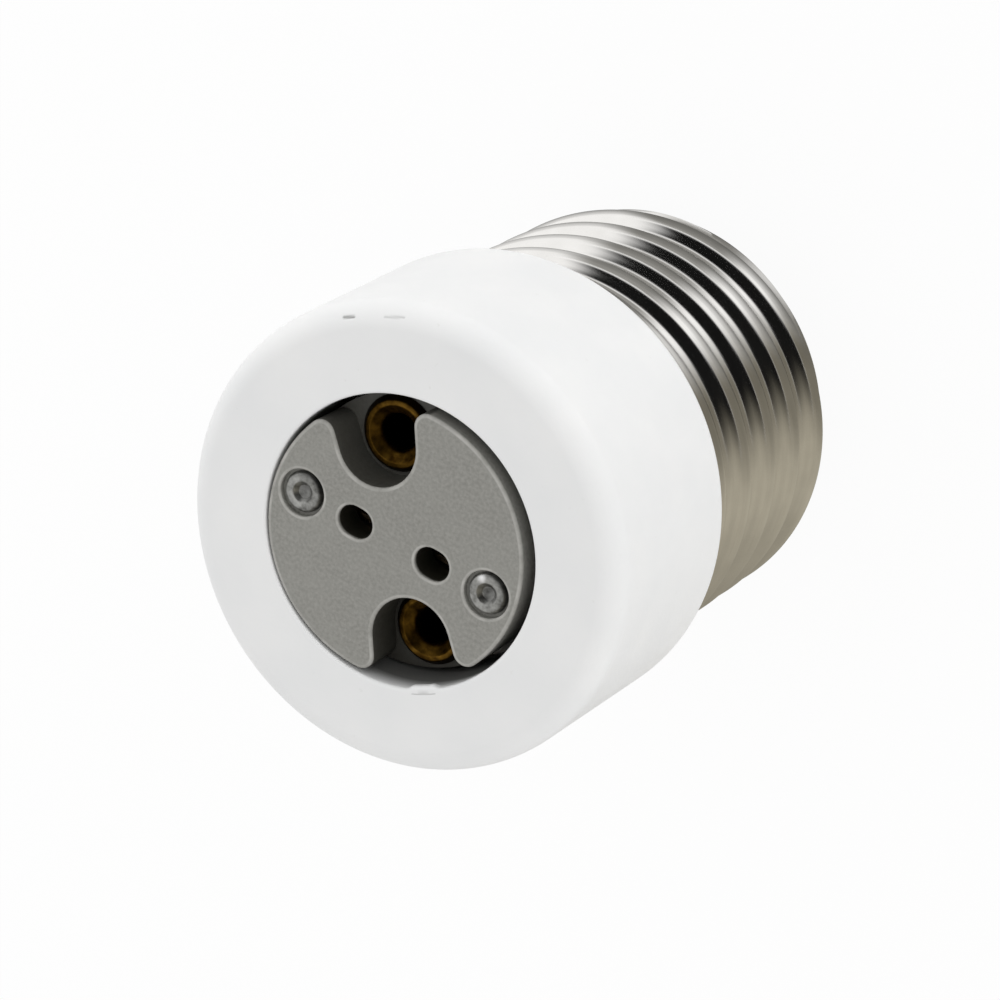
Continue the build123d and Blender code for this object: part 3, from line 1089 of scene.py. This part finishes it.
def solder_piece():
    """Slightly uneven solder dome on the contact."""
    base, low = solder_high.z, solder_low.z
    base_r = solder_high.x
    height = base - low
    ball_r = (base_r**2 + height**2) / (2 * height)
    half = math.degrees(math.asin(base_r / ball_r))
    dome = arc(0, low + ball_r, ball_r, -90 + half, -90 + solder_tip_angle, solder_steps)
    skin = Skin()
    skin.turned(dome, even(solder_sides), wrap=False)
    for vert in skin.bm.verts:
        point = vert.co / MM
        inside = 1 - (math.hypot(point.x, point.y) / base_r) ** 2
        ripple = waves(point, solder_waves)
        vert.co.z += solder_ripple * max(0.0, inside) * max(0.0, ripple) * MM
    skin.finish("solder_dome", "solder", "contact_solder")


housing_piece()
screw_shell_piece()
lampholder_piece()
rivets_piece()
eyelets_piece()
insulator_piece()
contact_piece()
solder_piece()

# Every CAD node has its slot's material, and the inner ones keep their own meshes
for row in frame["record"]["subparts"]:
    node = frame["nodes"][row["node"]]
    node.data.materials.clear()
    node.data.materials.append(materials[row["material_slot"]])


# Studio

WHITE = (1.0, 1.0, 1.0, 1.0)
floor_half = 1500.0
floor_clouds = 40.0
floor_dark = (0.92, 0.92, 0.92)
floor_light = (0.95, 0.95, 0.95)
floor_rough = 0.9
floor_glow = 0.93
ambient = 0.855

camera_lens = 137.08
camera_clip = 0.01
camera_place = (72.535, 99.794, 194.277)
camera_azimuth = 54.378
camera_elevation = 57.286
camera_roll = 120.347

key_light = {"azimuth": 118.0, "elevation": 4.0, "width": 300.0, "height": 50.0, "power": 0.185}
fill_light = {"azimuth": 25.0, "elevation": 4.0, "width": 300.0, "height": 50.0, "power": 0.135}
rim_light = {"azimuth": 186.0, "elevation": 6.0, "width": 200.0, "height": 50.0, "power": 0.06}
lamp_distance = 300.0

# Glowing cards that only reflections show, painted reflections in the metal: shades, tones by azimuth,
# and (radius, height, cover) rows
card_steps = 60
card_clouds = 30.0
card_cloud_shade = 0.9
dome_r = 400.0
card_floor = floor_z + 0.2
shadow_z = floor_z + 0.4
black_flag = (0.008, 0.008, 0.008)
dim_flag = (0.2, 0.195, 0.18)
beige = (0.4, 0.37, 0.295)
grey = (0.31, 0.305, 0.29)
shadow_shade = (0.12, 0.118, 0.11)
even_tones = ((0, 1.0), (360, 1.0))
beige_tones = ((-100, 0.58), (-34, 0.85), (-14, 1.06), (0, 1.02), (18, 0.55), (36, 0.44), (70, 0.55))
low_rows = [
    (10.5, card_floor, 1.0),
    (90, card_floor, 1.0),
    (380, card_floor, 0.95),
    (380, 8, 0.6),
    (380, 16, 0.0),
]
wall_rows = [
    (90, card_floor, 1.0),
    (95, 200, 1.0),
    (95, 260, 0.0),
]
shadow_rows = [
    (2, shadow_z, 1.0),
    (11, shadow_z, 1.0),
    (16, shadow_z, 0.75),
    (26, shadow_z, 0.4),
    (60, shadow_z, 0.0),
]


def plain_mesh(name, points, faces, material):
    """Stage mesh from points in millimetres."""
    mesh = bpy.data.meshes.new(name)
    mesh.from_pydata([Vector(p) * MM for p in points], [], faces)
    mesh.materials.append(material)
    thing = bpy.data.objects.new(name, mesh)
    bpy.context.scene.collection.objects.link(thing)
    return thing


def seen_as_background(tree):
    """1 for rays that show the background: from the camera, off gloss or through glass."""
    path = tree.nodes.new("ShaderNodeLightPath")
    total = path.outputs["Is Camera Ray"]
    for output in ("Is Glossy Ray", "Is Transmission Ray"):
        node = tree.nodes.new("ShaderNodeMath")
        node.operation = "MAXIMUM"
        tree.links.new(total, node.inputs[0])
        tree.links.new(path.outputs[output], node.inputs[1])
        total = node.outputs[0]
    return total


def floor_paint():
    """Pale floor that shows white to the camera and keeps a soft shadow."""
    paint = Paint("pale_floor")
    shade = paint.ramp(paint.grain(floor_clouds), floor_dark, floor_light)
    paint.link(shade, paint.shader.inputs["Base Color"])
    paint.shader.inputs["Roughness"].default_value = floor_rough
    glow = paint.tree.nodes.new("ShaderNodeEmission")
    glow.inputs["Color"].default_value = WHITE
    share = paint.tree.nodes.new("ShaderNodeMath")
    share.operation = "MULTIPLY"
    share.inputs[1].default_value = floor_glow
    paint.link(seen_as_background(paint.tree), share.inputs[0])
    return paint.surface(paint.shader.outputs["BSDF"], glow.outputs["Emission"], share.outputs[0])


def floor():
    """Plain floor at the part's lowest point."""
    h = floor_half
    points = [(-h, -h, floor_z), (h, -h, floor_z), (h, h, floor_z), (-h, h, floor_z)]
    plain_mesh("floor", points, [(0, 1, 2, 3)], floor_paint())


def world():
    """Even white surroundings, and a white background."""
    room = bpy.data.worlds.new("studio")
    bpy.context.scene.world = room
    room.use_nodes = True
    tree = room.node_tree
    back = tree.nodes["Background"]
    back.inputs["Color"].default_value = WHITE
    level = tree.nodes.new("ShaderNodeMapRange")
    level.inputs["To Min"].default_value = ambient
    level.inputs["To Max"].default_value = 1.0
    tree.links.new(seen_as_background(tree), level.inputs["Value"])
    tree.links.new(level.outputs["Result"], back.inputs["Strength"])


def direction(azimuth, elevation):
    """Unit vector from the part towards a place in the studio."""
    a, e = math.radians(azimuth), math.radians(elevation)
    return Vector((math.cos(e) * math.cos(a), math.cos(e) * math.sin(a), math.sin(e)))


def lamp(name, azimuth, elevation, width, height, power):
    """Low soft lamp that faces the part and leaves no bright line in the metal."""
    data = bpy.data.lights.new(name, "AREA")
    data.shape = "RECTANGLE"
    data.size = width * MM
    data.size_y = height * MM
    data.energy = power
    thing = bpy.data.objects.new(name, data)
    bpy.context.scene.collection.objects.link(thing)
    towards = direction(azimuth, elevation)
    thing.location = towards * lamp_distance * MM
    thing.rotation_euler = towards.to_track_quat("Z", "Y").to_euler()
    thing.visible_glossy = False


def card_paint(name, shade):
    """Glowing card for a painted reflection: it shines by its tone and lets rays through where it has no
    cover.
    """
    paint = Paint(name)
    paint.tree.nodes.remove(paint.shader)
    glow = paint.tree.nodes.new("ShaderNodeEmission")
    darker = tuple(c * card_cloud_shade for c in shade)
    paint.link(paint.ramp(paint.grain(card_clouds), darker, shade), glow.inputs["Color"])
    paint.link(paint.attribute("tone"), glow.inputs["Strength"])
    clear = paint.tree.nodes.new("ShaderNodeBsdfTransparent")
    return paint.surface(clear.outputs["BSDF"], glow.outputs["Emission"], paint.attribute("cover"))


def dome_rows(start, full, full_end, end, cover=1.0):
    """Rows of a card on a large dome, by elevation, with no cover at its start and end."""
    rows = []
    for elevation, share in ((start, 0.0), (full, cover), (full_end, cover), (end, 0.0)):
        e = math.radians(elevation)
        rows.append((dome_r * math.cos(e), dome_r * math.sin(e), share))
    return rows


def tone_at(tones, azimuth):
    """Tone between (azimuth, tone) stops."""
    for (low, first), (high, second) in zip(tones, tones[1:]):
        if azimuth <= high:
            return between((first, second), max(0.0, azimuth - low) / (high - low))
    return tones[-1][1]


def card(name, shade, start, end, fade, rows, tones=even_tones):
    """Glowing card that only reflections show, a painted reflection: (radius, height, cover) rows swept
    round the part.

    It goes from the start azimuth to the end one, fades out over some degrees at both,
    and its tone follows the stops.
    """
    points, covers, shine, faces = [], [], [], []
    for k in range(card_steps + 1):
        azimuth = start + (end - start) * k / card_steps
        a = math.radians(azimuth)
        edge = ease(min(azimuth - start, end - azimuth), 0.0, fade)
        points += [(r * math.cos(a), r * math.sin(a), z) for r, z, _ in rows]
        covers += [cover * edge for _, _, cover in rows]
        shine += [tone_at(tones, azimuth)] * len(rows)
    for k in range(card_steps):
        for j in range(len(rows) - 1):
            low = len(rows) * k + j
            faces.append((low, low + len(rows), low + len(rows) + 1, low + 1))
    thing = plain_mesh(name, points, faces, card_paint(name, shade))
    for layer, values in (("cover", covers), ("tone", shine)):
        thing.data.attributes.new(layer, "FLOAT", "POINT").data.foreach_set("value", values)
    thing.visible_camera = False
    thing.visible_diffuse = False
    thing.visible_shadow = False
    thing.visible_transmission = False


def camera():
    """Camera at the photograph's angle."""
    data = bpy.data.cameras.new("camera")
    data.lens = camera_lens
    data.clip_start = camera_clip
    thing = bpy.data.objects.new("camera", data)
    bpy.context.scene.collection.objects.link(thing)
    back = direction(camera_azimuth, camera_elevation)
    right = Vector((0, 0, 1)).cross(back).normalized()
    up = back.cross(right)
    roll = math.radians(camera_roll)
    tilted_up = up * math.cos(roll) + right * math.sin(roll)
    tilted_right = tilted_up.cross(back)
    turn = Matrix((tilted_right, tilted_up, back)).transposed().to_4x4()
    thing.matrix_world = Matrix.Translation(Vector(camera_place) * MM) @ turn
    bpy.context.scene.camera = thing


high_flag_rows = dome_rows(start=2, full=14, full_end=72, end=86)
low_flag_rows = dome_rows(start=-3, full=3, full_end=14, end=18)
rear_flag_rows = dome_rows(start=3, full=12, full_end=30, end=42, cover=0.8)

floor()
world()
lamp("key", **key_light)
lamp("fill", **fill_light)
lamp("rim", **rim_light)
# Painted reflections: dark flags, beige and grey floor and wall, and a painted contact shadow
card("dark_flag", black_flag, start=-20, end=128, fade=18, rows=high_flag_rows)
card("low_flag", black_flag, start=0, end=66, fade=22, rows=low_flag_rows)
card("rear_flag", dim_flag, start=200, end=335, fade=30, rows=rear_flag_rows)
card("beige_floor", beige, start=-100, end=70, fade=30, rows=low_rows, tones=beige_tones)
card("beige_wall", beige, start=-100, end=34, fade=26, rows=wall_rows, tones=beige_tones)
card("grey_floor", grey, start=72, end=130, fade=18, rows=low_rows)
card("contact_shadow", shadow_shade, start=28, end=285, fade=28, rows=shadow_rows)
camera()
bpy.context.scene.view_settings.view_transform = "Standard"
